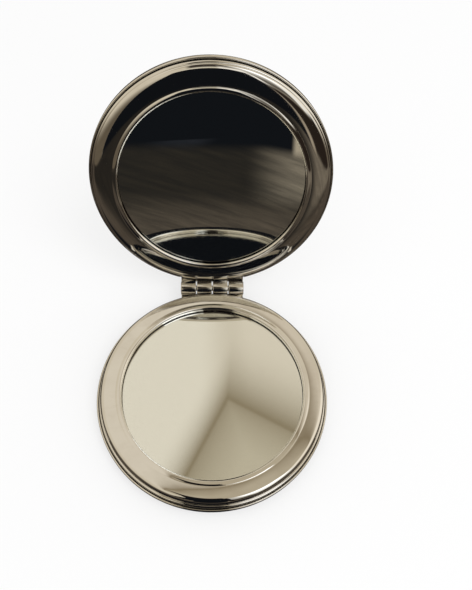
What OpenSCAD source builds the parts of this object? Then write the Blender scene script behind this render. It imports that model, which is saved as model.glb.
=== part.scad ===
// Round compact mirror: two pressed shells on one rear hinge, each with a framed mirror inside.
// Origin: centre of the base's flat underside. +Z up, +X right, the hinge at the back (+Y).

/* [Shells] */
// Outer radius of each round shell
shell_r = 35; // [34.5:0.5:40]
// Depth of each shell from its rim to its flat outer face
shell_depth = 4.2; // [3.8:0.1:7]
// Thickness of the shell sheet
shell_wall = 0.6; // [0.4:0.05:0.8]
// Width of the rounded shoulder between the flat outer face and the side
shoulder_w = 6; // [5.5:0.5:8]
// Height of the straight side below the rim
side_h = 1.2; // [0.9:0.1:1.6]

/* [Frames] */
// Height of the base frame's inner bead above the shell rim
base_rise = 3.95; // [3:0.05:6]
// Height of the lid frame's inner bead above the shell rim
lid_rise = 1.6; // [1.5:0.05:4]
// Width of the base frame, from its inner bead's crest to its side
base_band_w = 5.85; // [5.5:0.05:8]
// Width of the lid frame, from its inner bead's crest to its side
lid_band_w = 6.25; // [5.5:0.05:8]
// Section radius of the base frame's inner bead
base_bead = 0.65; // [0.5:0.05:0.9]
// Section radius of the lid frame's inner bead
lid_bead = 0.5; // [0.4:0.05:0.8]
// How far the base bead stands above the frame's face
base_proud = 0.45; // [0.2:0.05:0.5]
// How far the lid bead stands above the frame's face
lid_proud = 0.3; // [0.2:0.05:0.4]
// Thickness of the frame's sheet
frame_wall = 0.6; // [0.4:0.05:0.8]
// Width of the groove between the frame's foot and the shell rim
groove_w = 0.15; // [0.1:0.05:0.6]
// Section radius of the rolled edge round the frame's foot
foot_bead = 0.55; // [0.3:0.05:0.6]
// Height of the rolled edge's centre above the shell rim
foot_bead_z = 0.25; // [0.2:0.05:0.4]
// Depth of the frame's seat below the shell rim
seat_drop = 0.6; // [0.5:0.05:0.8]
// How square the frame's edge is: 2 is an ellipse, more is squarer
edge_power = 2.5; // [2:0.5:6]
// Place of the crown of the frame's face, as a share of the face's width from the bead
crown_share = 0.5; // [0.3:0.05:0.6]
// Height of the crown above the face beside the bead
crown_h = 0.1; // [0.05:0.01:0.15]
// Gap between the two inner beads when the lid is shut
crest_gap = 0.4; // [0.35:0.05:1]

/* [Mirrors] */
// How far the base glass reaches past the crest of the base frame's inner bead
base_lap = 0.55; // [0.4:0.05:0.9]
// How far the lid glass reaches past the crest of the lid frame's inner bead
lid_lap = 0.95; // [0.5:0.05:1.2]
// Thickness of both mirror glasses
glass_t = 1; // [0.8:0.1:1.2]
// Depth of the base glass below the base bead's crest
base_recess = 1.33; // [1:0.01:1.6]
// Depth of the lid glass below the lid bead's crest
lid_recess = 0.6; // [0.5:0.05:0.8]
// Thickness of the reflective coat and its backing paint
coat_t = 0.1; // [0.05:0.05:0.2]
// Width of the bare edge round the coat
coat_margin = 0.2; // [0.1:0.1:1]
// Thickness of the adhesive foam pad
pad_t = 0.8; // [0.5:0.1:1]
// Width of the glass's rim that the foam pad leaves free
pad_margin = 0.9; // [0.5:0.1:6]
// Clearance round the glass inside the frame
glass_fit = 0.15; // [0.1:0.05:0.3]

/* [Trays] */
// Thickness of the tray's disc under the pad
disc_t = 1; // [0.8:0.1:1.2]
// Thickness of the tray's skirt, hub and ribs
skirt_t = 1; // [0.8:0.1:1.5]
// Distance of the skirt inside the tray's disc
skirt_inset = 0.4; // [0.2:0.1:1]
// Thickness of the tray's shelf under the frame
shelf_t = 0.9; // [0.8:0.05:1.1]
// Clearance between the shelf and the shell's side
shelf_fit = 0.2; // [0.1:0.05:0.4]
// Radius of the tray's hub
hub_r = 7; // [5:0.5:10]
// Number of ribs under the tray's disc
rib_count = 6; // [3:1:12]

/* [Hinge] */
// Distance of the hinge axis outside the shell's edge
hinge_out = 0.5; // [0.4:0.05:1]
// Whole width of the four hinge knuckles
hinge_w = 20.5; // [16:0.5:26]
// Outer radius of a knuckle
knuckle_r = 2.2; // [1.8:0.05:2.4]
// Gap between neighbouring knuckles
knuckle_gap = 0.35; // [0.3:0.05:0.6]
// Radius of the hinge pin
pin_r = 0.9; // [0.7:0.05:1.1]
// Running clearance of the lid's knuckles on the pin
pin_run = 0.05; // [0.02:0.01:0.08]
// Clearance of the base's knuckles on the pin that they grip
pin_grip = 0.01; // [0.01:0.01:0.02]
// Thickness of the hinge leaf
leaf_t = 0.7; // [0.5:0.05:0.8]
// Depth of the leaf's foot below the shell rim
leaf_drop = 0.95; // [0.85:0.05:1.1]
// Clearance between the hinge and what it passes through
hinge_clear = 0.3; // [0.3:0.05:0.5]
// Distance of each rivet from the middle of the hinge
rivet_x = 6; // [4:0.5:7]
// Radius of a rivet's shank
rivet_r = 0.8; // [0.6:0.05:0.9]
// Radius of a rivet's head
rivet_head_r = 1.3; // [1.1:0.05:1.4]
// Height of a rivet's head
rivet_head_h = 0.4; // [0.3:0.05:0.5]
// Clearance of a rivet's shank in its holes
rivet_fit = 0.03; // [0.02:0.01:0.06]
// Opening angle of the lid at rest, measured from shut
open_angle = 108.7; // [20:0.1:175]

/* [Closure] */
// Length of the magnet and of the plate that it meets
magnet_l = 8; // [5:0.5:9]
// Room left free between the magnet's pocket and the frame's side
magnet_room = 0.9; // [0.7:0.05:1.4]
// Thickness of the magnet
magnet_t = 1; // [0.8:0.1:1]
// Gap between the magnet and the sheet above it
magnet_gap = 0.3; // [0.25:0.05:0.4]
// Clearance round the magnet in its pocket
pocket_fit = 0.1; // [0.05:0.05:0.15]
// Thickness of the pocket's walls
pocket_wall = 0.4; // [0.3:0.05:0.5]
// Height of the pocket's walls above the magnet's seat
pocket_h = 0.5; // [0.3:0.1:0.7]

/* [Hidden] */
$fn = 96;
// Chords in a quarter of a curved outline
quarter_steps = 14;
// Chords in a face's gentle inner slope
slope_steps = 4;
// How far a cut runs past the solid that it cuts
overrun = 1;

// The hinge axis lies midway between the two shell rims when the lid is shut
hinge_y = shell_r + hinge_out;
hinge_z = shell_depth + (base_rise + crest_gap + lid_rise) / 2;
knuckle_w = (hinge_w - 3 * knuckle_gap) / 4;
knuckle_pitch = knuckle_w + knuckle_gap;
notch_y = hinge_y - knuckle_r - hinge_clear;
notch_w = hinge_w + 2 * hinge_clear;
leaf_z = shell_depth - leaf_drop;

// The frame's outline, from the glass to the foot
side_r = shell_r - shell_wall - groove_w - foot_bead;
foot_top_z = shell_depth + foot_bead_z + foot_bead;
seat_z = shell_depth - seat_drop;
base_crest_r = side_r - base_band_w;
lid_crest_r = side_r - lid_band_w;
base_glass_r = base_crest_r + base_lap;
lid_glass_r = lid_crest_r + lid_lap;
glass_edge_r = max(base_glass_r, lid_glass_r) + glass_fit;

floor_r = shell_r - shoulder_w;
shelf_r = shell_r - shell_wall - shelf_fit;

// The leaf's foot reaches from just outside the glass to its tip, which stops short of the other leaf's
leaf_front_y = glass_edge_r + hinge_clear;
leaf_tip_y = hinge_y - hinge_clear * 3 / 4;
// Length of the foot that lies on the tray's shelf, with the rivets midway along it
leaf_l = sqrt(pow(shelf_r, 2) - pow(hinge_w / 2, 2)) - hinge_clear - leaf_front_y;
rivet_y = leaf_front_y + leaf_l / 2;

// The magnet's pocket takes the width between the glass and the frame's side
pocket_w = side_r - frame_wall - glass_edge_r - magnet_room - 2 * pocket_wall;
magnet_w = pocket_w - 2 * pocket_fit;
magnet_y = -(glass_edge_r + pocket_fit + pocket_wall + pocket_w / 2);
magnet_corner_r = sqrt(pow(magnet_y - magnet_w / 2, 2) + pow(magnet_l / 2, 2));

// Height of the glass's lower face above the shell's outer face
function glass_z(rise, recess) = shell_depth + rise - recess - glass_t;
// Height of the tray's top face
function tray_z(rise, recess) = glass_z(rise, recess) - coat_t - pad_t;
// Width of the hollow behind a frame
function hollow_w(glass_r) = side_r - frame_wall - glass_r - glass_fit;
// Height of the hollow's curved top above its straight side
function hollow_h(rise, proud) = rise - proud - frame_wall - foot_bead_z;
// Height of the magnet's lower face, under the hollow's top at the magnet's outer corner
function magnet_z(rise, proud, glass_r) =
    let (share = (magnet_corner_r - glass_r - glass_fit) / hollow_w(glass_r))
        shell_depth + foot_bead_z - magnet_gap - magnet_t
            + hollow_h(rise, proud) * pow(1 - pow(share, edge_power), 1 / edge_power);
// Distance of a knuckle from the middle of the hinge, with the leftmost one as number 0
function knuckle_x(number) = -(hinge_w - knuckle_w) / 2 + number * knuckle_pitch;

// Points on an arc from angle a to angle b, with its own width and height
function arc(centre, w, h, a, b, steps = quarter_steps) =
    [for (i = [0:steps]) let (t = a + (b - a) * i / steps) centre + [w * cos(t), h * sin(t)]];
// Points on a quarter of a squared ellipse, from its top to its side
function squared(centre, w, h) =
    [for (i = [0:quarter_steps]) let (t = 90 - 90 * i / quarter_steps)
        centre + [w * pow(cos(t), 2 / edge_power), h * pow(sin(t), 2 / edge_power)]];
// The same points without the first, which the outline already holds
function rest_of(points) = [for (i = [1:len(points) - 1]) points[i]];
// The same points in the opposite order
function reversed(points) = [for (i = [len(points) - 1:-1:0]) points[i]];

// Section of a shell: flat outer face, rounded shoulder, straight side and half-round rim
module shell_section() {
    shoulder = [shell_r - shoulder_w, shell_depth - side_h];
    rim = [shell_r - shell_wall / 2, shell_depth - shell_wall / 2];
    polygon(concat(
        [[0, 0]],
        arc(shoulder, shoulder_w, shell_depth - side_h, -90, 0),
        arc(rim, shell_wall / 2, shell_wall / 2, 0, 180),
        arc(shoulder, shoulder_w - shell_wall, shell_depth - side_h - shell_wall, 0, -90),
        [[0, shell_wall]]));
}

// Section of a frame: inner bead, crowned face, rounded edge, rolled foot, and the hollow behind them
module frame_section(rise, crest_r, bead, proud, recess, glass_r) {
    face_z = shell_depth + rise - proud;
    bead_end = asin((bead - proud) / bead);
    face_r = crest_r + bead * cos(bead_end);
    bead_centre = [crest_r, shell_depth + rise - bead];
    crown_w = (side_r - face_r) * crown_share;
    crown = [face_r + crown_w, face_z + crown_h];
    slope_r = (pow(crown_w, 2) + pow(crown_h, 2)) / (2 * crown_h);
    slope_centre = crown - [0, slope_r];
    lip_z = glass_z(rise, recess) + glass_t;
    seat_r = glass_r + glass_fit;
    hollow = [seat_r, shell_depth + foot_bead_z];
    polygon(concat(
        [[crest_r - bead, lip_z]],
        arc(bead_centre, bead, bead, 180, bead_end),
        rest_of(arc(slope_centre, slope_r, slope_r, 90 + asin(crown_w / slope_r), 90, slope_steps)),
        rest_of(squared([crown[0], foot_top_z], side_r - crown[0], crown[1] - foot_top_z)),
        rest_of(arc([side_r, shell_depth + foot_bead_z], foot_bead, foot_bead, 90, -90)),
        [[side_r, seat_z], [side_r - frame_wall, seat_z]],
        reversed(squared(hollow, hollow_w(glass_r), hollow_h(rise, proud))),
        [[seat_r, lip_z]]));
}

// A pressed shell with the notch for the hinge in its rim
module shell() {
    difference() {
        rotate_extrude() shell_section();
        translate([-notch_w / 2, leaf_front_y, leaf_z - hinge_clear])
            cube([notch_w, shell_r, leaf_drop + hinge_clear + overrun]);
    }
}

// A frame ring, cleared at the back for the knuckles above and the leaf's foot below
module frame(rise, crest_r, bead, proud, recess, glass_r) {
    difference() {
        rotate_extrude() frame_section(rise, crest_r, bead, proud, recess, glass_r);
        translate([-notch_w / 2, notch_y, 0])
            cube([notch_w, shell_r, shell_depth + rise + overrun]);
        translate([-notch_w / 2, leaf_front_y - hinge_clear, 0])
            cube([notch_w, shell_r, leaf_z + leaf_t + hinge_clear]);
    }
}

// The moulded tray: disc, hub, skirt and ribs on the shell's floor, and a shelf for the frame
module tray(rise, recess, proud, glass_r) {
    top = tray_z(rise, recess);
    seat = magnet_z(rise, proud, glass_r);
    pocket_l = magnet_l + 2 * pocket_fit;
    floor_z = shell_wall;
    shelf_z = seat_z - shelf_t;
    skirt_r = min(glass_r, floor_r) - skirt_inset;
    difference() {
        union() {
            translate([0, 0, top - disc_t]) cylinder(r = glass_r, h = disc_t);
            tube(skirt_r, skirt_t, floor_z, top - disc_t / 2);
            tube(hub_r, skirt_t, floor_z, top - disc_t / 2);
            tube(shelf_r, shelf_r - skirt_r + skirt_t / 2, shelf_z, seat_z);
            for (i = [0:rib_count - 1]) rotate([0, 0, (i + 1 / 2) * 360 / rib_count])
                translate([hub_r - skirt_t / 2, -skirt_t / 2, floor_z])
                    cube([skirt_r - hub_r, skirt_t, top - disc_t / 2 - floor_z]);
            translate([-pocket_l / 2 - pocket_wall, magnet_y - pocket_w / 2 - pocket_wall, shelf_z])
                cube([pocket_l + 2 * pocket_wall, pocket_w + 2 * pocket_wall, seat + pocket_h - shelf_z]);
        }
        translate([-pocket_l / 2, magnet_y - pocket_w / 2, seat])
            cube([pocket_l, pocket_w, magnet_t + overrun]);
        translate([-notch_w / 2, leaf_front_y - hinge_clear, leaf_z])
            cube([notch_w, shell_r, leaf_drop + overrun]);
        for (x = [-rivet_x, rivet_x]) translate([x, rivet_y, shelf_z - overrun])
            cylinder(r = rivet_r + rivet_fit, h = shelf_t + 2 * overrun);
    }
}

// A ring of the given outer radius and thickness, between two heights
module tube(outer_r, thickness, low_z, high_z) {
    translate([0, 0, low_z]) difference() {
        cylinder(r = outer_r, h = high_z - low_z);
        translate([0, 0, -overrun]) cylinder(r = outer_r - thickness, h = high_z - low_z + 2 * overrun);
    }
}

// A hinge leaf: two rolled knuckles, the web below each, and one riveted foot as wide as the hinge
module hinge_leaf(bore_fit) {
    difference() {
        union() {
            for (number = [1, 3]) translate([knuckle_x(number) - knuckle_w / 2, 0, 0]) {
                translate([0, hinge_y, hinge_z]) rotate([0, 90, 0]) cylinder(r = knuckle_r, h = knuckle_w);
                translate([0, hinge_y - knuckle_r, leaf_z]) cube([knuckle_w, leaf_t, hinge_z - leaf_z]);
            }
            translate([-hinge_w / 2, leaf_front_y, leaf_z])
                cube([hinge_w, leaf_tip_y - leaf_front_y, leaf_t]);
        }
        translate([-hinge_w / 2 - overrun, hinge_y, hinge_z]) rotate([0, 90, 0])
            cylinder(r = pin_r + bore_fit, h = hinge_w + 2 * overrun);
        for (x = [-rivet_x, rivet_x]) translate([x, rivet_y, leaf_z - overrun])
            cylinder(r = rivet_r + rivet_fit, h = leaf_t + 2 * overrun);
    }
}

// The two rivets that clamp a leaf's foot to the tray's shelf
module rivets() {
    tail_z = seat_z - shelf_t;
    for (x = [-rivet_x, rivet_x]) translate([x, rivet_y, 0]) {
        translate([0, 0, leaf_z + leaf_t]) cylinder(r = rivet_head_r, h = rivet_head_h);
        translate([0, 0, tail_z]) cylinder(r = rivet_r, h = leaf_z + leaf_t - tail_z);
        translate([0, 0, tail_z - rivet_head_h]) cylinder(r = rivet_head_r, h = rivet_head_h);
    }
}

// A flat disc of the given radius and thickness, at the given height
module disc(radius, thickness, low_z) {
    translate([0, 0, low_z]) cylinder(r = radius, h = thickness);
}

// A bar in the closure's pocket, at the given height
module closure_bar(low_z) {
    translate([-magnet_l / 2, magnet_y - magnet_w / 2, low_z]) cube([magnet_l, magnet_w, magnet_t]);
}

// Turns a half over onto the base, then opens it about the hinge axis
module as_lid() {
    translate([0, hinge_y, hinge_z]) rotate([-open_angle, 0, 0]) translate([0, -hinge_y, hinge_z])
        rotate([0, 180, 0]) children();
}

module base_shell() { color("silver") shell(); }
module base_tray() { color("dimgray") tray(base_rise, base_recess, base_proud, base_glass_r); }
module base_pad() {
    color("whitesmoke") disc(base_glass_r - pad_margin, pad_t, tray_z(base_rise, base_recess));
}
module base_silvering() {
    color("gainsboro")
        disc(base_glass_r - coat_margin, coat_t, glass_z(base_rise, base_recess) - coat_t);
}
module base_glass() { color("lightcyan") disc(base_glass_r, glass_t, glass_z(base_rise, base_recess)); }
module base_frame() {
    color("lightgray")
        frame(base_rise, base_crest_r, base_bead, base_proud, base_recess, base_glass_r);
}
module base_hinge_leaf() { color("silver") hinge_leaf(pin_grip); }
module base_rivets() { color("gray") rivets(); }
module base_magnet() {
    color("darkgray") closure_bar(magnet_z(base_rise, base_proud, base_glass_r));
}

module lid_shell() { color("silver") as_lid() shell(); }
module lid_tray() { color("dimgray") as_lid() tray(lid_rise, lid_recess, lid_proud, lid_glass_r); }
module lid_pad() {
    color("whitesmoke") as_lid() disc(lid_glass_r - pad_margin, pad_t, tray_z(lid_rise, lid_recess));
}
module lid_silvering() {
    color("gainsboro") as_lid()
        disc(lid_glass_r - coat_margin, coat_t, glass_z(lid_rise, lid_recess) - coat_t);
}
module lid_glass() { color("lightcyan") as_lid() disc(lid_glass_r, glass_t, glass_z(lid_rise, lid_recess)); }
module lid_frame() {
    color("lightgray") as_lid()
        frame(lid_rise, lid_crest_r, lid_bead, lid_proud, lid_recess, lid_glass_r);
}
module lid_hinge_leaf() { color("silver") as_lid() hinge_leaf(pin_run); }
module lid_rivets() { color("gray") as_lid() rivets(); }
module lid_striker() {
    color("darkgray") as_lid() closure_bar(magnet_z(lid_rise, lid_proud, lid_glass_r));
}

// The pin, as long as the four knuckles together
module hinge_pin() {
    color("gray") translate([-hinge_w / 2, hinge_y, hinge_z]) rotate([0, 90, 0])
        cylinder(r = pin_r, h = hinge_w);
}

base_shell();
base_tray();
base_pad();
base_silvering();
base_glass();
base_frame();
base_hinge_leaf();
base_rivets();
base_magnet();
lid_shell();
lid_tray();
lid_pad();
lid_silvering();
lid_glass();
lid_frame();
lid_hinge_leaf();
lid_rivets();
lid_striker();
hinge_pin();
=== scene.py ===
"""Round compact mirror: smooth plated shells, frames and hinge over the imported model, with a pale studio."""

import logging
import math
from dataclasses import dataclass, field
from enum import Enum
from functools import cache
from typing import Any

import bmesh
import bpy
from mathutils import Matrix, Vector


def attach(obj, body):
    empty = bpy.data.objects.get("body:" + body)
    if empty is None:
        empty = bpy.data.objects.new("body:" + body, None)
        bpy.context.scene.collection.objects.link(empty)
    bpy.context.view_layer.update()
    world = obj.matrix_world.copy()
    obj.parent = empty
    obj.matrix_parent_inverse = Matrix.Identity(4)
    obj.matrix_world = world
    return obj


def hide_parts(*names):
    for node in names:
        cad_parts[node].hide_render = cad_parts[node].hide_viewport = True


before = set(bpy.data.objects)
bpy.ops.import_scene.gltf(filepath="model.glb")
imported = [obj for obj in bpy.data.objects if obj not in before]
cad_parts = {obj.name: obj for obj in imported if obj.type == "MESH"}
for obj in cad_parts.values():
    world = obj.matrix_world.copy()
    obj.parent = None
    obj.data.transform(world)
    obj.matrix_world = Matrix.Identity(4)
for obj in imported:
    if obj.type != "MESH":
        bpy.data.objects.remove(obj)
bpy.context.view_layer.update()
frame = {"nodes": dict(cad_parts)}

log = logging.getLogger("compact_mirror")

MM = 0.001
DEGREES = 180.0 / math.pi
WHITE = (1.0, 1.0, 1.0)
DARK = (0.006, 0.007, 0.009)
TURN_STEPS = 256
GLASS_STEPS = 128
PIN_STEPS = 48
SHARP_ANGLE = math.radians(28.0)
MERGE_GAP = 1e-5
THIN_GAP = 1e-6
CUT_REACH = 40.0
CUT_TOP = 12.0

Point = tuple[float, float]
Span = tuple[float, float]
Place = tuple[float, float, float]
Colour = tuple[float, float, float]


class Cut(Enum):
    """What a second solid does to the first."""

    REMOVE = "DIFFERENCE"
    JOIN = "UNION"


class Side(Enum):
    """The two halves, by the name of the body that each one rides on."""

    BASE = "base"
    LID = "lid"


# Sections and solids


class Section:
    """An outline in the XZ plane, in millimetres, drawn on from its last point."""

    def __init__(self, start: Point) -> None:
        """Puts down the first point."""
        self.mesh = bmesh.new()
        self.tip = self.mesh.verts.new((start[0], 0.0, start[1]))

    def line(self, *points: Point) -> "Section":
        """Draws straight edges through the given points.

        Args:
            points: the (x, z) points to reach, in order.

        Returns:
            This section.
        """
        for x, z in points:
            grown = bmesh.ops.extrude_vert_indiv(self.mesh, verts=[self.tip])
            self.tip = grown["verts"][0]
            self.tip.co = (x, 0.0, z)
        return self

    def arc(self, centre: Point, reach: Point, start: float, end: float, steps: int,
            power: float = 2.0) -> "Section":
        """Draws part of an ellipse, or of a squarer curve, from one angle to another.

        Args:
            centre: the curve's centre.
            reach: its half width and half height.
            start: the first angle, in degrees, counted from +X towards +Z.
            end: the last angle.
            steps: the number of edges.
            power: 2 for an ellipse, more for a squarer curve.

        Returns:
            This section.
        """
        older = set(self.mesh.verts)
        angle = math.radians(start)
        first = self.mesh.verts.new((math.cos(angle), 0.0, math.sin(angle)))
        turned = bmesh.ops.spin(self.mesh, geom=[first], cent=(0.0, 0.0, 0.0), axis=(0.0, -1.0, 0.0),
                                angle=math.radians(end - start), steps=steps)
        fresh = [vert for vert in self.mesh.verts if vert not in older]
        for vert in fresh:
            vert.co = [math.copysign(abs(part) ** (2.0 / power), part) for part in vert.co]
        place = Matrix.Translation((centre[0], 0.0, centre[1])) @ Matrix.Diagonal((reach[0], 1.0, reach[1], 1.0))
        bmesh.ops.transform(self.mesh, matrix=place, verts=fresh)
        self.mesh.edges.new((self.tip, first))
        self.tip = turned["geom_last"][0]
        return self

    def close(self) -> "Section":
        """Joins the last point to the first, and merges points that coincide.

        Returns:
            This section.
        """
        self.mesh.verts.ensure_lookup_table()
        self.mesh.edges.new((self.tip, self.mesh.verts[0]))
        bmesh.ops.remove_doubles(self.mesh, verts=self.mesh.verts, dist=MERGE_GAP)
        return self

    def turned(self, steps: int = TURN_STEPS) -> bmesh.types.BMesh:
        """Turns the outline once about Z.

        Args:
            steps: the number of faces round the turn.

        Returns:
            The closed solid.
        """
        geom = list(self.mesh.verts) + list(self.mesh.edges)
        bmesh.ops.spin(self.mesh, geom=geom, cent=(0.0, 0.0, 0.0), axis=(0.0, 0.0, 1.0),
                       angle=2.0 * math.pi, steps=steps, use_merge=True)
        return tidy(self.mesh)

    def extruded(self, length: float) -> bmesh.types.BMesh:
        """Fills the outline and pulls it along +Y.

        Args:
            length: how far the solid reaches.

        Returns:
            The closed solid, from Y = 0 to the length.
        """
        bmesh.ops.contextual_create(self.mesh, geom=list(self.mesh.edges))
        grown = bmesh.ops.extrude_face_region(self.mesh, geom=list(self.mesh.faces))
        moved = [part for part in grown["geom"] if isinstance(part, bmesh.types.BMVert)]
        bmesh.ops.translate(self.mesh, verts=moved, vec=(0.0, length, 0.0))
        return tidy(self.mesh)


def tidy(mesh: bmesh.types.BMesh) -> bmesh.types.BMesh:
    """Merges a mesh's doubles and turns its faces outwards.

    Args:
        mesh: the mesh to tidy, which is changed.

    Returns:
        The same mesh.
    """
    bmesh.ops.remove_doubles(mesh, verts=mesh.verts, dist=MERGE_GAP)
    bmesh.ops.dissolve_degenerate(mesh, edges=mesh.edges, dist=THIN_GAP)
    bmesh.ops.recalc_face_normals(mesh, faces=mesh.faces)
    return mesh


def arc_radius(half_width: float, height: float) -> float:
    """The radius of an arc with the given half width and height."""
    return (half_width ** 2 + height ** 2) / (2.0 * height)


def block(low: Place, high: Place) -> bmesh.types.BMesh:
    """Makes a box between two corners.

    Args:
        low: the lowest corner, in millimetres.
        high: the highest corner.

    Returns:
        The solid.
    """
    mesh = bmesh.new()
    middle = (Vector(low) + Vector(high)) / 2.0
    sizes = Vector(high) - Vector(low)
    bmesh.ops.create_cube(mesh, size=1.0, matrix=Matrix.Translation(middle) @ Matrix.Diagonal(sizes).to_4x4())
    return tidy(mesh)


def rod(radius: float, low_x: float, high_x: float, centre: Point, edge: float = 0.0,
        steps: int = 64) -> bmesh.types.BMesh:
    """Makes a round rod along X, with rounded ends where an edge radius is given.

    Args:
        radius: the rod's radius, in millimetres.
        low_x: where the rod starts.
        high_x: where the rod ends.
        centre: the (y, z) of its axis.
        edge: the radius of its end edges.
        steps: the number of faces round it.

    Returns:
        The solid.
    """
    half = (high_x - low_x) / 2.0
    section = Section((0.0, -half))
    if edge > 0.0:
        section.arc((radius - edge, edge - half), (edge, edge), -90.0, 0.0, steps=5)
        section.arc((radius - edge, half - edge), (edge, edge), 0.0, 90.0, steps=5)
    else:
        section.line((radius, -half), (radius, half))
    mesh = section.line((0.0, half)).close().turned(steps)
    middle = Matrix.Translation(((low_x + high_x) / 2.0, *centre))
    bmesh.ops.transform(mesh, matrix=middle @ Matrix.Rotation(math.pi / 2.0, 4, "Y"), verts=mesh.verts)
    return mesh


def loose_object(mesh: bmesh.types.BMesh, name: str) -> bpy.types.Object:
    """Links a mesh to the scene as an object, as it is.

    Args:
        mesh: the mesh, which is freed.
        name: the object's name.

    Returns:
        The object.
    """
    data = bpy.data.meshes.new(name)
    mesh.to_mesh(data)
    mesh.free()
    thing = bpy.data.objects.new(name, data)
    bpy.context.scene.collection.objects.link(thing)
    return thing


def combined(first: bmesh.types.BMesh, second: bmesh.types.BMesh, cut: Cut) -> bmesh.types.BMesh:
    """Cuts one solid with another, or joins the two.

    Args:
        first: the solid that stays, which is freed.
        second: the other solid, which is freed.
        cut: whether the second is removed or joined.

    Returns:
        The new solid.
    """
    kept = loose_object(first, "kept")
    tool = loose_object(second, "tool")
    change = kept.modifiers.new("change", "BOOLEAN")
    change.operation = cut.value
    change.solver = "EXACT"
    change.object = tool
    result = bmesh.new()
    result.from_object(kept, bpy.context.evaluated_depsgraph_get())
    for thing in (kept, tool):
        bpy.data.meshes.remove(thing.data)
    return tidy(result)


# Shader graphs


class Value:
    """One socket of a node tree. Its operators add Math nodes."""

    def __init__(self, graph: "Graph", socket: bpy.types.NodeSocket) -> None:
        """Wraps a socket of the given graph."""
        self.graph = graph
        self.socket = socket

    def maths(self, operation: str, *others: "Value | float") -> "Value":
        """Adds a Math node on this value and up to two others.

        Args:
            operation: the Math node's operation.
            others: the second and third values.

        Returns:
            The node's result.
        """
        return self.graph.maths(operation, self, *others)

    def __add__(self, other: "Value | float") -> "Value":
        """Adds two values."""
        return self.maths("ADD", other)

    def __sub__(self, other: "Value | float") -> "Value":
        """Takes the other value from this one."""
        return self.maths("SUBTRACT", other)

    def __rsub__(self, other: float) -> "Value":
        """Takes this value from a number."""
        return self.graph.maths("SUBTRACT", other, self)

    def __mul__(self, other: "Value | float") -> "Value":
        """Multiplies two values."""
        return self.maths("MULTIPLY", other)

    def __truediv__(self, other: "Value | float") -> "Value":
        """Divides this value by the other."""
        return self.maths("DIVIDE", other)

    def smaller(self, other: "Value | float") -> "Value":
        """The smaller of two values."""
        return self.maths("MINIMUM", other)

    def larger(self, other: "Value | float") -> "Value":
        """The larger of two values."""
        return self.maths("MAXIMUM", other)

    def step(self, low: float, high: float) -> "Value":
        """Rises smoothly from 0 at the low value to 1 at the high one, which may be the smaller.

        Args:
            low: where the step starts.
            high: where it ends.

        Returns:
            The stepped value.
        """
        falls = high < low
        node = self.graph.node("ShaderNodeMapRange", {"interpolation_type": "SMOOTHSTEP"},
                               {0: self, 1: min(low, high), 2: max(low, high)})
        rise = Value(self.graph, node.outputs[0])
        return 1.0 - rise if falls else rise


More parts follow.
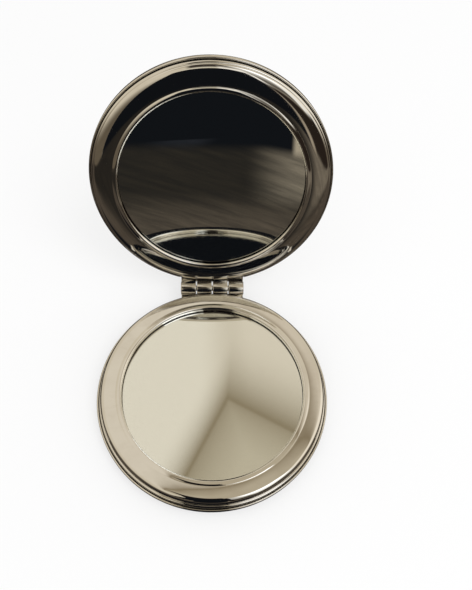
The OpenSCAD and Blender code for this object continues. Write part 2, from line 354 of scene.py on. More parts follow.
class Graph:
    """A material's or world's node tree, emptied and built up again."""

    def __init__(self, tree: bpy.types.NodeTree) -> None:
        """Empties the tree."""
        self.tree = tree
        tree.nodes.clear()

    def node(self, kind: str, settings: dict[str, Any] | None = None,
             inputs: dict[str | int, Any] | None = None) -> bpy.types.Node:
        """Adds any node.

        Args:
            kind: the node's type.
            settings: its properties, set first.
            inputs: the values or links of its sockets, by name or number.

        Returns:
            The node.
        """
        node = self.tree.nodes.new(kind)
        for name, value in (settings or {}).items():
            setattr(node, name, value)
        for key, value in (inputs or {}).items():
            if isinstance(value, Value):
                self.tree.links.new(value.socket, node.inputs[key])
            elif isinstance(value, bpy.types.NodeSocket):
                self.tree.links.new(value, node.inputs[key])
            elif isinstance(value, tuple) and node.inputs[key].type == "RGBA":
                node.inputs[key].default_value = (*value, 1.0)
            else:
                node.inputs[key].default_value = value
        return node

    def maths(self, operation: str, *values: "Value | float") -> Value:
        """Adds a Math node on the given values.

        Args:
            operation: the node's operation.
            values: up to three values.

        Returns:
            The node's result.
        """
        node = self.node("ShaderNodeMath", {"operation": operation}, dict(enumerate(values)))
        return Value(self, node.outputs[0])

    def mixed(self, share: Value | float, first: Value | Colour, second: Value | Colour) -> Value:
        """Mixes two colours.

        Args:
            share: 0 gives the first colour and 1 the second.
            first: a colour.
            second: a colour.

        Returns:
            The mixed colour.
        """
        node = self.node("ShaderNodeMix", {"data_type": "RGBA"}, {0: share, 6: first, 7: second})
        return Value(self, node.outputs[2])

    def place(self, scale: Place) -> Value:
        """Reads the piece's own coordinates.

        Args:
            scale: how much each axis is scaled.

        Returns:
            The coordinates, in scaled millimetres.
        """
        where = self.node("ShaderNodeTexCoord").outputs["Object"]
        sizes = tuple(part / MM for part in scale)
        node = self.node("ShaderNodeMapping", {}, {"Vector": where, "Scale": sizes})
        return Value(self, node.outputs[0])

    def noise(self, where: Value, scale: float, detail: float, rough: float) -> Value:
        """Adds even noise from 0 to 1.

        Args:
            where: the place to read it at.
            scale: how many grains there are to a unit.
            detail: the number of finer layers.
            rough: how strong the finer layers are.

        Returns:
            The noise's value.
        """
        node = self.node("ShaderNodeTexNoise", {},
                         {"Vector": where, "Scale": scale, "Detail": detail, "Roughness": rough})
        return Value(self, node.outputs[0])

    def parts(self, vector: Value) -> tuple[Value, Value, Value]:
        """The three numbers of a vector."""
        node = self.node("ShaderNodeSeparateXYZ", {}, {0: vector})
        return Value(self, node.outputs[0]), Value(self, node.outputs[1]), Value(self, node.outputs[2])

    def bump(self, height: Value, strength: float, distance: float) -> Value:
        """Bends the normal by a height.

        Args:
            height: the height, from 0 to 1.
            strength: how much of it shows.
            distance: the height of a 1, in millimetres.

        Returns:
            The bent normal.
        """
        node = self.node("ShaderNodeBump", {}, {"Strength": strength, "Distance": distance * MM, "Height": height})
        return Value(self, node.outputs[0])

    def whitened(self, shader: bpy.types.Node, white: bpy.types.Node, share: float) -> bpy.types.Node:
        """Mixes plain white into a shader for the camera's own rays alone.

        Args:
            shader: the shader that lights the scene.
            white: the plain white one.
            share: how much of the white the camera sees.

        Returns:
            The node that mixes the two.
        """
        seen = Value(self, self.node("ShaderNodeLightPath").outputs["Is Camera Ray"])
        return self.node("ShaderNodeMixShader", {}, {0: seen * share, 1: shader.outputs[0], 2: white.outputs[0]})

    def surface(self, sockets: dict[str | int, Any]) -> None:
        """Ends the tree in one Principled shader with the given sockets."""
        shader = self.node("ShaderNodeBsdfPrincipled", {}, sockets)
        self.node("ShaderNodeOutputMaterial", {}, {"Surface": shader.outputs[0]})


def new_material(name: str) -> tuple[bpy.types.Material, Graph]:
    """Makes an empty material.

    Args:
        name: the material's name.

    Returns:
        The material and its graph.
    """
    material = bpy.data.materials.new(name)
    material.use_nodes = True
    return material, Graph(material.node_tree)


# Finishes


@dataclass(frozen=True)
class Pattern:
    """Noise on a piece's own coordinates, and the two levels between which it shows."""

    scale: float
    detail: float
    rough: float
    low: float = 0.0
    high: float = 1.0
    stretch: Place = (1.0, 1.0, 1.0)

    def plain(self, graph: Graph) -> Value:
        """The noise as it is, from 0 to 1."""
        return graph.noise(graph.place(self.stretch), self.scale, self.detail, self.rough)

    def mask(self, graph: Graph) -> Value:
        """The noise as a mask, from 0 at its low level to 1 at its high one."""
        return self.plain(graph).step(self.low, self.high)


@dataclass(frozen=True)
class PolishedPlate:
    """Silver plating over polished steel, with mop marks, smears and a few hairlines."""

    name: str
    colour: Colour
    shadow_colour: Colour
    roughness: float
    smear: float
    ripple_um: float
    grit: float = 0.0
    clouds: Pattern = Pattern(0.11, 3.0, 0.55, 0.35, 0.7)
    smears: Pattern = Pattern(0.55, 4.0, 0.6, 0.48, 0.75, (0.5, 1.0, 1.0))
    hairs: Pattern = Pattern(2.2, 2.0, 0.7, 0.62, 0.8, (0.12, 2.4, 2.4))
    waves: Pattern = Pattern(0.16, 2.0, 0.4)
    peel: Pattern = Pattern(3.0, 2.0, 0.6)
    specks: Pattern = Pattern(2.6, 3.0, 0.7, 0.5, 0.62)
    cloud_tint: float = 0.6
    smear_tint: float = 0.25
    hair_share: float = 0.5
    peel_height: float = 0.06
    hair_height: float = 0.03

    def material(self) -> bpy.types.Material:
        """Builds the finish.

        Returns:
            The material.
        """
        material, graph = new_material(self.name)
        smears, hairs = self.smears.mask(graph), self.hairs.mask(graph)
        share = self.clouds.mask(graph) * self.cloud_tint + smears * self.smear_tint
        roughness = smears * self.smear + hairs * (self.smear * self.hair_share) + self.roughness
        height = self.waves.plain(graph) + self.peel.plain(graph) * self.peel_height + hairs * self.hair_height
        if self.grit > 0.0:
            height = height + self.specks.mask(graph) * self.grit
        graph.surface({"Base Color": graph.mixed(share, self.colour, self.shadow_colour), "Metallic": 1.0,
                       "Roughness": roughness, "Normal": graph.bump(height, 1.0, self.ripple_um * MM)})
        return material


@dataclass(frozen=True)
class MirrorCoat:
    """The silvered coat that is seen through the glass, with a breath of tarnish."""

    name: str
    colour: Colour
    tarnish_colour: Colour
    blotches: Pattern = Pattern(0.35, 4.0, 0.6, 0.55, 0.95)
    tarnish: float = 0.35
    roughness: float = 0.002
    dulling: float = 0.006

    def material(self) -> bpy.types.Material:
        """Builds the finish.

        Returns:
            The material.
        """
        material, graph = new_material(self.name)
        blotch = self.blotches.mask(graph)
        tint = graph.mixed(blotch * self.tarnish, self.colour, self.tarnish_colour)
        graph.surface({"Base Color": tint, "Metallic": 1.0, "Roughness": blotch * self.dulling + self.roughness})
        return material


@dataclass(frozen=True)
class ClearGlass:
    """Clear float glass with faint finger haze."""

    name: str
    colour: Colour
    haze: float
    wiping: Pattern = Pattern(0.3, 4.0, 0.6, 0.5, 0.85, (0.4, 1.0, 1.0))
    index: float = 1.52

    def material(self) -> bpy.types.Material:
        """Builds the finish.

        Returns:
            The material.
        """
        material, graph = new_material(self.name)
        graph.surface({"Base Color": self.colour, "Roughness": self.wiping.mask(graph) * self.haze,
                       "IOR": self.index, "Transmission Weight": 1.0})
        return material


@dataclass(frozen=True)
class DrawnSteel:
    """Plain bright steel with fine drawing lines."""

    name: str
    colour: Colour
    dull_colour: Colour
    roughness: float
    lines: Pattern
    stains: Pattern = Pattern(0.8, 3.0, 0.6, 0.45, 0.75)
    stain_tint: float = 0.7
    line_dulling: float = 0.12
    stain_dulling: float = 0.1
    line_strength: float = 0.5
    line_height: float = 0.01

    def material(self) -> bpy.types.Material:
        """Builds the finish.

        Returns:
            The material.
        """
        material, graph = new_material(self.name)
        lines, stain = self.lines.plain(graph), self.stains.mask(graph)
        graph.surface({"Base Color": graph.mixed(stain * self.stain_tint, self.colour, self.dull_colour),
                       "Metallic": 1.0,
                       "Roughness": lines * self.line_dulling + stain * self.stain_dulling + self.roughness,
                       "Normal": graph.bump(lines, self.line_strength, self.line_height)})
        return material


@dataclass(frozen=True)
class MouldedPlastic:
    """Moulded plastic with a fine spark-eroded grain and a little flow shading."""

    name: str
    colour: Colour
    pale_colour: Colour
    grain: Pattern
    roughness: float
    flow: Pattern = Pattern(0.12, 3.0, 0.5, 0.35, 0.75)
    flow_tint: float = 0.6
    grain_tint: float = 0.2
    grain_dulling: float = 0.2
    grain_strength: float = 0.6
    grain_height: float = 0.03

    def material(self) -> bpy.types.Material:
        """Builds the finish.

        Returns:
            The material.
        """
        material, graph = new_material(self.name)
        grain = self.grain.plain(graph)
        share = self.flow.mask(graph) * self.flow_tint + grain * self.grain_tint
        graph.surface({"Base Color": graph.mixed(share, self.colour, self.pale_colour),
                       "Roughness": grain * self.grain_dulling + self.roughness,
                       "Normal": graph.bump(grain, self.grain_strength, self.grain_height)})
        return material


Finish = PolishedPlate | MirrorCoat | ClearGlass | DrawnSteel | MouldedPlastic

PLATE_SHELL = PolishedPlate("polished_shell", (0.80, 0.78, 0.74), (0.70, 0.67, 0.62), 0.05, 0.06, 3.0)
PLATE_FRAME = PolishedPlate("polished_frame", (0.82, 0.80, 0.76), (0.74, 0.71, 0.66), 0.035, 0.05, 3.0)
PLATE_HINGE = PolishedPlate("hinge_metal", (0.78, 0.76, 0.72), (0.62, 0.59, 0.54), 0.05, 0.08, 4.0, 0.4)
COAT = MirrorCoat("mirror_coat", (0.93, 0.93, 0.91), (0.86, 0.85, 0.80))
GLASS = ClearGlass("mirror_glass", (0.985, 0.995, 0.985), 0.012)
PIN_STEEL = DrawnSteel("pin_steel", (0.60, 0.59, 0.57), (0.38, 0.36, 0.33), 0.18,
                       Pattern(3.0, 3.0, 0.6, stretch=(0.1, 3.0, 3.0)))
RIVET_STEEL = DrawnSteel("rivet_steel", (0.58, 0.57, 0.56), (0.40, 0.38, 0.35), 0.22,
                         Pattern(3.0, 3.0, 0.6, stretch=(2.0, 2.0, 2.0)))
STRIKER_STEEL = DrawnSteel("striker_steel", (0.55, 0.55, 0.55), (0.42, 0.40, 0.38), 0.25,
                           Pattern(3.0, 3.0, 0.6, stretch=(0.3, 3.0, 3.0)))
NICKEL = DrawnSteel("magnet_nickel", (0.62, 0.61, 0.58), (0.50, 0.48, 0.44), 0.15, Pattern(3.0, 3.0, 0.6))
TRAY_PLASTIC = MouldedPlastic("tray_plastic", (0.012, 0.012, 0.014), (0.03, 0.03, 0.033),
                              Pattern(4.0, 2.0, 0.6), 0.45)
FOAM = MouldedPlastic("foam_pad", (0.80, 0.80, 0.77), (0.62, 0.61, 0.57), Pattern(6.0, 2.0, 0.6), 0.75)


@cache
def finished(finish: Finish) -> bpy.types.Material:
    """Builds a finish's material, only once."""
    return finish.material()


def dress(piece: bpy.types.Object, finish: Finish) -> None:
    """Gives an object one finish on its only slot."""
    piece.data.materials.clear()
    piece.data.materials.append(finished(finish))


# The pieces


@dataclass
class HingeSizes:
    """The hinge's sizes, in millimetres."""

    y: float = 35.5
    z: float = 7.175
    width: float = 20.5
    knuckle: float = 4.8625
    pitch: float = 5.2125
    radius: float = 2.2
    pin_radius: float = 0.9
    pin_edge: float = 0.2
    sheet: float = 0.7
    leaf_z: float = 3.25
    leaf_front_y: float = 28.85
    leaf_tip_y: float = 35.275
    web_inset: float = 1.0
    web_fillet: float = 0.5
    bore_fit: float = 0.05
    edge: float = 0.18
    clear: float = 0.3
    open_degrees: float = 108.7


@dataclass
class ShellSizes:
    """The sizes of a pressed shell, in millimetres."""

    radius: float = 35.0
    depth: float = 4.2
    wall: float = 0.6
    shoulder: float = 6.0
    side: float = 1.2


@dataclass
class FrameSizes:
    """The sizes of a pressed frame and its glass, in millimetres."""

    rise: float
    crest_radius: float
    bead: float
    proud: float
    flank: float
    recess: float
    wall: float = 0.6
    side_radius: float = 33.7
    foot_bead: float = 0.55
    foot_z: float = 4.45
    seat_z: float = 3.6
    glass_radius: float = 28.4
    glass_thickness: float = 1.0
    glass_fit: float = 0.15
    glass_grind: float = 0.15
    edge_power: float = 2.5
    crown_share: float = 0.5
    crown_height: float = 0.1
    coat_gap: float = 0.02


@dataclass
class Half:
    """One half of the mirror: shell, frame, glass and hinge leaf, built flat and then put in place."""

    side: Side
    frame: FrameSizes
    knuckles: tuple[int, int] = (1, 3)
    shell: ShellSizes = field(default_factory=ShellSizes)
    hinge: HingeSizes = field(default_factory=HingeSizes)

    def placement(self) -> Matrix:
        """Says where the half lies: the base as built, the lid turned over and opened about the hinge.

        Returns:
            The half's place, in millimetres.
        """
        if self.side is Side.BASE:
            return Matrix.Identity(4)
        axis = Matrix.Translation((0.0, self.hinge.y, self.hinge.z))
        swing = Matrix.Rotation(math.radians(-self.hinge.open_degrees), 4, "X")
        back = Matrix.Translation((0.0, -self.hinge.y, self.hinge.z))
        return axis @ swing @ back @ Matrix.Rotation(math.pi, 4, "Y")

    def piece(self, mesh: bmesh.types.BMesh, name: str, node: str, finish: Finish) -> bpy.types.Object:
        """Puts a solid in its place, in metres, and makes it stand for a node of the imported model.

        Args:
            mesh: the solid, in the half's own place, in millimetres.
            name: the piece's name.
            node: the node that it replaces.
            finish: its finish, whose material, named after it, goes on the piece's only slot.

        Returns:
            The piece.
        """
        bmesh.ops.transform(mesh, matrix=Matrix.Scale(MM, 4) @ self.placement(), verts=mesh.verts)
        return finished_piece(mesh, name, node, self.side, finish)

    def hinge_gap(self, front_y: float, low_z: float, high_z: float = CUT_TOP) -> bmesh.types.BMesh:
        """Makes the block that is cut away where the hinge goes through.

        Args:
            front_y: where the cut starts.
            low_z: its lowest height.
            high_z: its top.

        Returns:
            The block, which reaches out past the half's back.
        """
        half = self.hinge.width / 2.0 + self.hinge.clear
        return block((-half, front_y, low_z), (half, CUT_REACH, high_z))

    def shell_mesh(self) -> bmesh.types.BMesh:
        """Makes the pressed dish, with its rolled rim and the notch for the hinge.

        Returns:
            The solid.
        """
        shell, hinge = self.shell, self.hinge
        flat = shell.radius - shell.shoulder
        spring_z = shell.depth - shell.side
        rim = shell.wall / 2.0
        section = Section((0.0, 0.0))
        section.line((flat / 2.0, 0.0))
        section.arc((flat, spring_z), (shell.shoulder, spring_z), -90.0, 0.0, steps=24)
        section.arc((shell.radius - rim, shell.depth - rim), (rim, rim), 0.0, 180.0, steps=12)
        section.arc((flat, spring_z), (shell.shoulder - shell.wall, spring_z - shell.wall), 0.0, -90.0, steps=20)
        section.line((flat / 2.0, shell.wall), (0.0, shell.wall)).close()
        notch = self.hinge_gap(hinge.leaf_front_y, hinge.leaf_z - hinge.clear)
        return combined(section.turned(), notch, Cut.REMOVE)

    def frame_mesh(self) -> bmesh.types.BMesh:
        """Makes the pressed ring: inner bead, crowned face, rounded edge, rolled foot and the hollow behind.

        Returns:
            The solid.
        """
        size, hinge, depth = self.frame, self.hinge, self.shell.depth
        crest_z = depth + size.rise
        face_z, lip_z = crest_z - size.proud, crest_z - size.recess
        face_radius = size.crest_radius + size.flank
        flank = arc_radius(size.flank, size.proud)
        crown_width = (size.side_radius - face_radius) * size.crown_share
        crown_radius, crown_z = face_radius + crown_width, face_z + size.crown_height
        crown = arc_radius(crown_width, size.crown_height)
        edge_z = size.foot_z + size.foot_bead
        seat_radius, back_radius = size.glass_radius + size.glass_fit, size.side_radius - size.wall
        section = Section((size.crest_radius - size.bead, lip_z))
        section.arc((size.crest_radius, crest_z - size.bead), (size.bead, size.bead), 180.0, 90.0, steps=16)
        section.arc((size.crest_radius, crest_z - flank), (flank, flank), 90.0,
                    90.0 - math.degrees(math.asin(size.flank / flank)), steps=12)
        section.arc((crown_radius, crown_z - crown), (crown, crown),
                    90.0 + math.degrees(math.asin(crown_width / crown)), 90.0, steps=12)
        section.arc((crown_radius, edge_z), (size.side_radius - crown_radius, crown_z - edge_z), 90.0, 0.0,
                    steps=44, power=size.edge_power)
        section.arc((size.side_radius, size.foot_z), (size.foot_bead, size.foot_bead), 90.0, -90.0, steps=12)
        section.line((size.side_radius, size.seat_z), (back_radius, size.seat_z))
        section.arc((seat_radius, size.foot_z), (back_radius - seat_radius, face_z - size.wall - size.foot_z),
                    0.0, 90.0, steps=24, power=size.edge_power)
        section.line((seat_radius, lip_z)).close()
        behind = self.hinge_gap(hinge.y - hinge.radius - hinge.clear, 0.0)
        under = self.hinge_gap(hinge.leaf_front_y - hinge.clear, 0.0, hinge.leaf_z + hinge.sheet + hinge.clear)
        return combined(combined(section.turned(), behind, Cut.REMOVE), under, Cut.REMOVE)

    def glass_mesh(self) -> bmesh.types.BMesh:
        """Makes the glass disc with a ground edge, a hair above its coat.

        Returns:
            The solid.
        """
        size = self.frame
        grind = size.glass_grind
        top = self.shell.depth + size.rise - size.recess
        low = top - size.glass_thickness + size.coat_gap
        section = Section((0.0, low))
        section.line((size.glass_radius - grind, low), (size.glass_radius, low + grind),
                     (size.glass_radius, top - grind), (size.glass_radius - grind, top), (0.0, top))
        return section.close().turned(GLASS_STEPS)

    def leaf_mesh(self) -> bmesh.types.BMesh:
        """Makes the hinge leaf: two knuckles, the web below each, and the foot under the frame.

        Returns:
            The solid.
        """
        hinge = self.hinge
        fillet, foot_z = hinge.web_fillet, hinge.leaf_z + hinge.sheet
        front = hinge.y - hinge.radius
        back = front + hinge.sheet
        start = hinge.leaf_front_y + hinge.web_inset
        solid = block((-hinge.width / 2.0, hinge.leaf_front_y, hinge.leaf_z),
                      (hinge.width / 2.0, hinge.leaf_tip_y, foot_z))
        for number in self.knuckles:
            centre = -(hinge.width - hinge.knuckle) / 2.0 + number * hinge.pitch
            low, high = centre - hinge.knuckle / 2.0, centre + hinge.knuckle / 2.0
            web = Section((start, hinge.leaf_z))
            web.line((back, hinge.leaf_z), (back, hinge.z), (front, hinge.z))
            web.arc((front - fillet, foot_z + fillet), (fillet, fillet), 0.0, -90.0, steps=6)
            web.line((start, foot_z)).close()
            bar = web.extruded(hinge.knuckle - 2.0 * hinge.edge)
            turn = Matrix.Translation((high - hinge.edge, 0.0, 0.0)) @ Matrix.Rotation(math.pi / 2.0, 4, "Z")
            bmesh.ops.transform(bar, matrix=turn, verts=bar.verts)
            barrel = rod(hinge.radius, low, high, (hinge.y, hinge.z), hinge.edge)
            solid = combined(combined(barrel, bar, Cut.JOIN), solid, Cut.JOIN)
        bore = rod(hinge.pin_radius + hinge.bore_fit, -hinge.width, hinge.width, (hinge.y, hinge.z))
        return combined(solid, bore, Cut.REMOVE)

    def dress_inner(self) -> None:
        """Finishes the nodes that keep their own mesh."""
        closure = ("magnet", NICKEL) if self.side is Side.BASE else ("striker", STRIKER_STEEL)
        for part, finish in (("tray", TRAY_PLASTIC), ("pad", FOAM), ("silvering", COAT),
                             ("rivets", RIVET_STEEL), closure):
            node = f"{self.side.value}_{part}"
            dress(frame["nodes"][node], finish)
            log.info("%s: finished as %s", node, finish.name)

    def build(self) -> None:
        """Builds the half's visible pieces and finishes the hidden ones."""
        name = self.side.value
        self.piece(self.shell_mesh(), f"{name}_plated_shell", f"{name}_shell", PLATE_SHELL)
        self.piece(self.frame_mesh(), f"{name}_plated_frame", f"{name}_frame", PLATE_FRAME)
        self.piece(self.glass_mesh(), f"{name}_mirror_pane", f"{name}_glass", GLASS)
        self.piece(self.leaf_mesh(), f"{name}_rolled_leaf", f"{name}_hinge_leaf", PLATE_HINGE)
        self.dress_inner()


def finished_piece(mesh: bmesh.types.BMesh, name: str, node: str, side: Side, finish: Finish) -> bpy.types.Object:
    """Makes a piece of a solid that is in place, in metres, and hides the node that it stands for.

    Args:
        mesh: the solid, which is freed.
        name: the piece's name.
        node: the node that it replaces.
        side: the half that it rides on.
        finish: its finish.

    Returns:
        The piece.
    """
    bmesh.ops.recalc_face_normals(mesh, faces=mesh.faces)
    piece = loose_object(mesh, name)
    piece.data.shade_smooth()
    piece.data.set_sharp_from_angle(angle=SHARP_ANGLE)
    dress(piece, finish)
    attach(piece, side.value)
    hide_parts(node)
    log.info("%s: %d faces, stands for %s", name, len(piece.data.polygons), node)
    return piece


@dataclass
class Pin:
    """The pin through the four knuckles."""

    hinge: HingeSizes = field(default_factory=HingeSizes)

    def build(self) -> None:
        """Builds the pin with rounded ends."""
        hinge = self.hinge
        half = hinge.width / 2.0
        mesh = rod(hinge.pin_radius, -half, half, (hinge.y, hinge.z), hinge.pin_edge, PIN_STEPS)
        bmesh.ops.scale(mesh, vec=(MM, MM, MM), verts=mesh.verts)
        finished_piece(mesh, "hinge_pin_rod", "hinge_pin", Side.BASE, PIN_STEEL)


# The room


class Measure(Enum):
    """What an edge in the room is measured by.

    Rise and turn are in degrees, the turn from the front towards the right. RIGHT and PAST lie on the
    ceiling's plane, one unit up. SEAM, DROP, GRAIN and HAZE run from 0 to 1.
    """

    RISE = "rise"
    TURN = "turn"
    TURN_SQUARED = "turn squared"
    LEAN = "turn, leaning with the rise"
    STRIPE = "turn along the pale stripe"
    REACH = "rise, lifted at both sides"
    FALL = "rise, falling to the right"
    TOP = "rise over the table's top"
    RIGHT = "how far right"
    PAST = "how far past the seams"
    SEAM = "nearness of the seams"
    DROP = "fading behind the seams"
    GRAIN = "the table's grain"
    HAZE = "haze on the far side"


@dataclass(frozen=True)
class Patch:
    """A colour in the room, laid over the patches before it.

    Each edge is a measure with the two values between which the patch comes in. The colour may be a
    row of patches itself.
    """

    colour: "Colour | tuple[Patch, ...]"
    edges: tuple[tuple[Measure, float, float], ...] = ()
    share: float | Measure = 1.0


RISE, TURN, RIGHT = Measure.RISE, Measure.TURN, Measure.RIGHT
# Painted shade of the room's corner, seen only in reflections: the right ceiling plane a little darker, darker
# bands along the seams, and darker again past them.
SEAM_SHADE = (0.27, 0.218, 0.14)
CEILING = (
    Patch((0.76, 0.695, 0.58)),
    Patch((0.70, 0.625, 0.505), ((RIGHT, -0.03, 0.06),)),
    Patch(SEAM_SHADE, ((RIGHT, -0.02, 0.045), (RIGHT, 0.10, 0.045)), 0.12),
    Patch(SEAM_SHADE, (), Measure.SEAM),
    Patch((Patch(SEAM_SHADE), Patch((0.52, 0.455, 0.34), (), Measure.DROP)), ((Measure.PAST, 0.0, 0.008),)),
)
FRONT_BAND = (Patch((0.72, 0.66, 0.53)), Patch((1.1, 1.06, 0.98), ((TURN, 1.5, 3.5),)))
FRONT_WALL = (Patch((0.06, 0.05, 0.04)), Patch((0.33, 0.30, 0.25), ((TURN, 1.5, 3.5), (RISE, 52.0, 44.0))))
HOOD = (*FRONT_BAND, Patch(FRONT_WALL, ((RISE, 28.0, 38.0),)),
        Patch((0.016, 0.013, 0.011), ((RISE, 52.0, 68.0),)))
WINDOW = (
    Patch((0.10, 0.088, 0.072)),
    Patch((0.62, 0.60, 0.55), ((RISE, 16.0, 36.0),)),
    Patch((1.0, 0.98, 0.92), ((TURN, 24.0, 31.0),)),
    Patch((1.6, 1.6, 1.6), ((RISE, 35.0, 45.0), (TURN, 16.0, 27.0))),
)
BROWN = (Patch((0.022, 0.016, 0.012)),
         Patch((0.38, 0.32, 0.24), ((Measure.STRIPE, 11.4, 10.4), (RISE, 14.0, 6.0))))
FAR_SIDE = (Patch(DARK), Patch((0.022, 0.024, 0.03), ((Measure.HAZE, 0.5, 0.75),)))
TABLE_FRONT = ((TURN, -60.0, -40.0), (TURN, 40.0, 20.0))
# The table as seen in reflections: its wood and dark grain, with painted shadow in front, first darker and then
# near black, a painted highlight on the wood to the right, and near black behind and low down.
WOOD_SHADE_AND_SHEEN = (
    Patch((0.10, 0.08, 0.06)),
    Patch((0.027, 0.023, 0.018), ((RISE, -14.0, -9.0), *TABLE_FRONT)),
    Patch(DARK, ((RISE, -18.0, -26.0), *TABLE_FRONT)),
    Patch((0.22, 0.185, 0.14), ((TURN, 4.0, 11.0), (RISE, -12.0, -9.0))),
    Patch((0.02, 0.017, 0.014), ((Measure.TURN_SQUARED, 100.0 ** 2, 120.0 ** 2), (RISE, -12.0, -24.0))),
    Patch(DARK, ((Measure.GRAIN, 0.7, 0.3),), 0.45),
)
# The room's painted reflection, which only metal and mirrors see: walls, ceiling, window, the dark mass in front
# and the table, with the window and the bright band glowing past white.
ROOM = (
    Patch((0.70, 0.63, 0.50)),
    Patch((1.0, 0.92, 0.78), ((TURN, 40.0, 62.0), (TURN, 125.0, 105.0))),
    Patch(CEILING, ((RISE, 45.0, 60.0),)),
    Patch((0.13, 0.105, 0.073), ((Measure.REACH, 26.0, 2.0),)),
    Patch(FRONT_BAND, ((Measure.LEAN, -14.4, -13.2), (TURN, 12.4, 11.0), (RISE, 38.0, 32.0))),
    Patch(HOOD, ((RISE, 28.0, 34.0), (RISE, 80.0, 77.0), (RIGHT, -0.28, -0.20), (TURN, 12.4, 11.0),
                 (TURN, -60.0, -50.0))),
    Patch(WINDOW, ((RISE, 12.0, 16.0), (RISE, 66.0, 64.0), (TURN, 11.0, 12.4), (TURN, 62.0, 60.0))),
    Patch(BROWN, ((TURN, 8.0, 9.5), (TURN, 60.0, 45.0), (Measure.FALL, 15.0, 8.0))),
    Patch(FAR_SIDE, ((Measure.LEAN, -14.4, -13.2), (TURN, 10.0, 9.3), (RISE, 25.0, 21.0))),
    Patch(WOOD_SHADE_AND_SHEEN, ((Measure.TOP, -4.2, -5.4),)),
)


@dataclass(frozen=True)
class RoomShape:
    """How the room's measures follow from a direction."""

    lowest_up: float = 0.05
    lean: float = 0.17
    stripe_lean: float = 0.12
    left_side: Span = (-75.0, -95.0)
    left_lift: float = 14.0
    right_side: Span = (75.0, 95.0)
    right_lift: float = 18.0
    fall_turn: Span = (24.0, 50.0)
    fall: float = 8.0
    top_turn: Span = (6.0, 10.0)
    top_lift: float = 0.5
    corner: Point = (0.039, 0.371)
    left_seam: Point = (0.883, -0.47)
    right_seam: Point = (-0.485, -0.874)
    left_fade: float = 15.0
    right_fade: float = 6.2
    drop_fade: float = 11.0
    grain_turn: float = 0.12
    grain_slant: float = 0.3
    grain_rise: float = 1.3
    grain_detail: float = 5.0
    grain_rough: float = 0.65
    haze: Pattern = Pattern(1.0, 3.0, 0.5, stretch=(0.002, 0.002, 0.006))

    def measures(self, graph: Graph, x: Value, y: Value, z: Value) -> dict[Measure, Value]:
        """Works out every measure of a direction.

        Args:
            graph: the graph to build in.
            x: the direction's X.
            y: the direction's Y.
            z: the direction's Z.

        Returns:
            The values by their measures.
        """
        rise = z.maths("ARCSINE") * DEGREES
        turn = graph.maths("ARCTAN2", x, y * -1.0) * DEGREES
        up = z.larger(self.lowest_up)
        right = x / up
        du, dv = right - self.corner[0], y / up - self.corner[1]
        past_left = du * self.left_seam[0] + dv * self.left_seam[1]
        past_right = du * self.right_seam[0] + dv * self.right_seam[1]
        past = past_left.smaller(past_right)
        near = (past_left * self.left_fade).smaller(past_right * self.right_fade) + 1.0
        near = near.larger(0.0).smaller(1.0)
        lifted = turn.step(*self.left_side) * self.left_lift + turn.step(*self.right_side) * self.right_lift
        along = graph.node("ShaderNodeCombineXYZ", {},
                           {0: turn * self.grain_turn, 1: (rise + turn * self.grain_slant) * self.grain_rise})
        return {
            Measure.RISE: rise,
            Measure.TURN: turn,
            Measure.TURN_SQUARED: turn * turn,
            Measure.LEAN: turn - rise * self.lean,
            Measure.STRIPE: turn + rise * self.stripe_lean,
            Measure.REACH: rise + lifted,
            Measure.FALL: rise - turn.step(*self.fall_turn) * self.fall,
            Measure.TOP: rise + turn.step(*self.top_turn) * self.top_lift,
            Measure.RIGHT: right,
            Measure.PAST: past,
            Measure.SEAM: near * near,
            Measure.DROP: (past * self.drop_fade).larger(0.0).smaller(1.0).maths("SQRT"),
            Measure.GRAIN: graph.noise(Value(graph, along.outputs[0]), 1.0, self.grain_detail, self.grain_rough),
            Measure.HAZE: self.haze.plain(graph),
        }


@dataclass
class Painter:
    """Paints patches by the measures of a direction."""

    graph: Graph
    measures: dict[Measure, Value]

    def mask(self, patch: Patch) -> Value | float:
        """Says how much of a patch shows.

        Args:
            patch: the patch.

        Returns:
            Its mask, from 0 to 1.
        """
        mask = self.measures[patch.share] if isinstance(patch.share, Measure) else patch.share
        for measure, low, high in patch.edges:
            mask = self.measures[measure].step(low, high) * mask
        return mask

    def painted(self, patches: tuple[Patch, ...]) -> Value | Colour:
        """Lays a row of patches over each other.

        Args:
            patches: the patches, the lowest one first.

        Returns:
            Their colour.
        """
        shade = patches[0].colour
        for patch in patches[1:]:
            colour = self.painted(patch.colour) if isinstance(patch.colour[0], Patch) else patch.colour
            shade = self.graph.mixed(self.mask(patch), shade, colour)
        return shade


# The studio


class Shown(Enum):
    """Where a thing in the studio shows, by the rays that don't see it."""

    IN_REFLECTIONS = ("camera", "diffuse", "shadow", "volume_scatter")
    TO_THE_EYE = ("glossy", "transmission")

    def limit(self, thing: bpy.types.Object) -> None:
        """Hides an object from the other rays."""
        for ray in self.value:
            setattr(thing, f"visible_{ray}", False)


def reflected_glow(thing: bpy.types.Object, material: bpy.types.Material, graph: Graph,
                   colour: Value | Colour) -> None:
    """Gives a thing a plain glow that shows in reflections only and lights nothing by itself.

    Args:
        thing: the object.
        material: its material.
        graph: the material's graph.
        colour: the glow's colour.
    """
    glow = graph.node("ShaderNodeEmission", {}, {"Color": colour, "Strength": 1.0})
    graph.node("ShaderNodeOutputMaterial", {}, {"Surface": glow.outputs[0]})
    material.cycles.emission_sampling = "NONE"
    thing.data.materials.append(material)
    Shown.IN_REFLECTIONS.limit(thing)


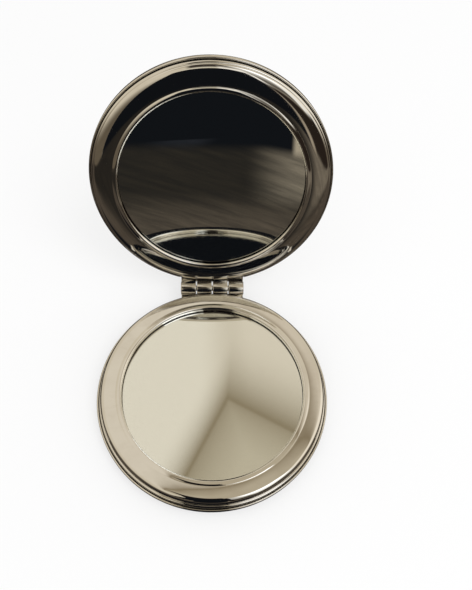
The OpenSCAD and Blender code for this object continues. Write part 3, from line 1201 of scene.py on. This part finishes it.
@dataclass(frozen=True)
class Card:
    """A plain card that only metal and mirrors see, given by its corners in metres."""

    name: str
    colour: Colour
    near_left: Place
    near_right: Place
    far_left: Place
    far_right: Place

    def build(self) -> None:
        """Stretches a one-face grid to the card's four corners."""
        mesh = bmesh.new()
        bmesh.ops.create_grid(mesh, x_segments=1, y_segments=1, size=0.5)
        near, far = (self.near_left, self.near_right), (self.far_left, self.far_right)
        for vert in mesh.verts:
            vert.co = (far if vert.co.y > 0.0 else near)[1 if vert.co.x > 0.0 else 0]
        thing = loose_object(mesh, self.name)
        reflected_glow(thing, *new_material(self.name), self.colour)


PALE_CARD = (0.62, 0.57, 0.48)
CARDS = (
    Card("standing_card", DARK, (-0.079, -0.15, 0.03), (0.069, -0.25, 0.03),
         (-0.051, -0.15, 0.125), (0.054, -0.25, 0.165)),
    Card("leaning_card", DARK, (-0.036, -0.075, 0.124), (0.0145, -0.075, 0.124),
         (-0.051, -0.15, 0.125), (0.054, -0.25, 0.165)),
    Card("left_card", PALE_CARD, (-0.0382, -0.016, 0.001), (-0.0358, -0.016, 0.001),
         (-0.0382, 0.012, 0.001), (-0.0358, 0.012, 0.001)),
    Card("right_card", PALE_CARD, (0.0358, -0.016, 0.001), (0.0382, -0.016, 0.001),
         (0.0358, 0.012, 0.001), (0.0382, 0.012, 0.001)),
)


@dataclass(frozen=True)
class Viewpoint:
    """The photograph's camera: its lens, its place in metres and its turns in degrees."""

    lens: float = 32.606
    sensor: float = 36.0
    shift: float = 0.059
    nearest: float = 0.005
    farthest: float = 20.0
    place: Place = (-0.001244, -0.059065, 0.157723)
    axes: str = "ZXZ"
    turns: Place = (-6.277, 27.818, 5.317)

    def build(self) -> None:
        """Adds the camera and makes it the scene's own."""
        data = bpy.data.cameras.new("camera")
        data.lens, data.sensor_width, data.shift_y = self.lens, self.sensor, self.shift
        data.clip_start, data.clip_end = self.nearest, self.farthest
        camera = bpy.data.objects.new("camera", data)
        pose = Matrix.Translation(self.place)
        for degrees, axis in zip(self.turns, self.axes):
            pose = pose @ Matrix.Rotation(math.radians(degrees), 4, axis)
        camera.matrix_world = pose
        bpy.context.scene.collection.objects.link(camera)
        bpy.context.scene.camera = camera


@dataclass
class Studio:
    """Pale floor, a soft lamp, even light, and the room that only metal and mirrors see."""

    floor_size: float = 6.0
    floor_colour: Colour = (0.94, 0.94, 0.94)
    floor_white: float = 0.6
    floor_roughness: float = 0.95
    floor_gloss: float = 0.1
    tooth: Pattern = Pattern(0.02, 3.0, 0.5)
    tooth_tint: float = 0.1
    tooth_shade: float = 0.96
    room_radius: float = 2.0
    room_fineness: int = 5
    lamp_size: float = 0.5
    lamp_watts: float = 1.6
    lamp_place: Place = (0.35, -0.25, 0.75)
    world_level: float = 0.88

    def floor(self) -> None:
        """Lays the floor, which metal doesn't see."""
        mesh = bmesh.new()
        bmesh.ops.create_grid(mesh, x_segments=1, y_segments=1, size=self.floor_size / 2.0)
        ground = loose_object(mesh, "floor")
        material, graph = new_material("floor_paper")
        shaded = tuple(part * self.tooth_shade for part in self.floor_colour)
        tint = graph.mixed(self.tooth.plain(graph) * self.tooth_tint, self.floor_colour, shaded)
        paper = graph.node("ShaderNodeBsdfPrincipled", {},
                           {"Base Color": tint, "Roughness": self.floor_roughness,
                            "Specular IOR Level": self.floor_gloss})
        white = graph.node("ShaderNodeEmission", {}, {"Color": WHITE, "Strength": 1.0})
        both = graph.whitened(paper, white, self.floor_white)
        graph.node("ShaderNodeOutputMaterial", {}, {"Surface": both.outputs[0]})
        ground.data.materials.append(material)
        Shown.TO_THE_EYE.limit(ground)

    def room(self) -> None:
        """Builds the room round the object as a painted reflection: a glowing dome that only its polished faces
        show.
        """
        mesh = bmesh.new()
        bmesh.ops.create_icosphere(mesh, subdivisions=self.room_fineness, radius=self.room_radius)
        bmesh.ops.reverse_faces(mesh, faces=mesh.faces)
        dome = loose_object(mesh, "room")
        material, graph = new_material("painted_room_reflection")
        where = graph.node("ShaderNodeTexCoord").outputs["Object"]
        unit = graph.node("ShaderNodeVectorMath", {"operation": "NORMALIZE"}, {0: where})
        x, y, z = graph.parts(Value(graph, unit.outputs[0]))
        painter = Painter(graph, RoomShape().measures(graph, x, y, z))
        reflected_glow(dome, material, graph, painter.painted(ROOM))

    def lamp(self) -> None:
        """Hangs one soft lamp over the object, which metal doesn't see as a lamp."""
        data = bpy.data.lights.new("softbox", "AREA")
        data.shape, data.size, data.energy = "DISK", self.lamp_size, self.lamp_watts
        lamp = bpy.data.objects.new("softbox", data)
        lamp.location = self.lamp_place
        lamp.rotation_euler = (-Vector(self.lamp_place)).to_track_quat("-Z", "Y").to_euler()
        Shown.TO_THE_EYE.limit(lamp)
        bpy.context.scene.collection.objects.link(lamp)

    def world(self) -> None:
        """Sets the even pale light all round, which the camera sees as white."""
        world = bpy.data.worlds.new("studio")
        world.use_nodes = True
        graph = Graph(world.node_tree)
        light = graph.node("ShaderNodeBackground", {}, {"Color": WHITE, "Strength": self.world_level})
        white = graph.node("ShaderNodeBackground", {}, {"Color": WHITE, "Strength": 1.0})
        both = graph.whitened(light, white, 1.0)
        graph.node("ShaderNodeOutputWorld", {}, {"Surface": both.outputs[0]})
        bpy.context.scene.world = world

    def build(self) -> None:
        """Builds the whole studio: dark cards stand in front, and pale ones lie beside the base."""
        Viewpoint().build()
        self.world()
        self.floor()
        self.room()
        for card in CARDS:
            card.build()
        self.lamp()
        bpy.context.scene.view_settings.view_transform = "Standard"


# The whole


BASE_FRAME = FrameSizes(rise=3.95, crest_radius=27.85, bead=0.65, proud=0.2, flank=1.1, recess=1.33,
                        edge_power=3.0)
LID_FRAME = FrameSizes(rise=1.6, crest_radius=27.45, bead=0.5, proud=0.17, flank=0.95, recess=0.6)


def main() -> None:
    """Builds the studio and the object."""
    logging.basicConfig(level=logging.INFO, format="%(name)s: %(message)s")
    Studio().build()
    for half in (Half(Side.BASE, BASE_FRAME), Half(Side.LID, LID_FRAME)):
        half.build()
    Pin().build()


if __name__ == "__main__":
    main()
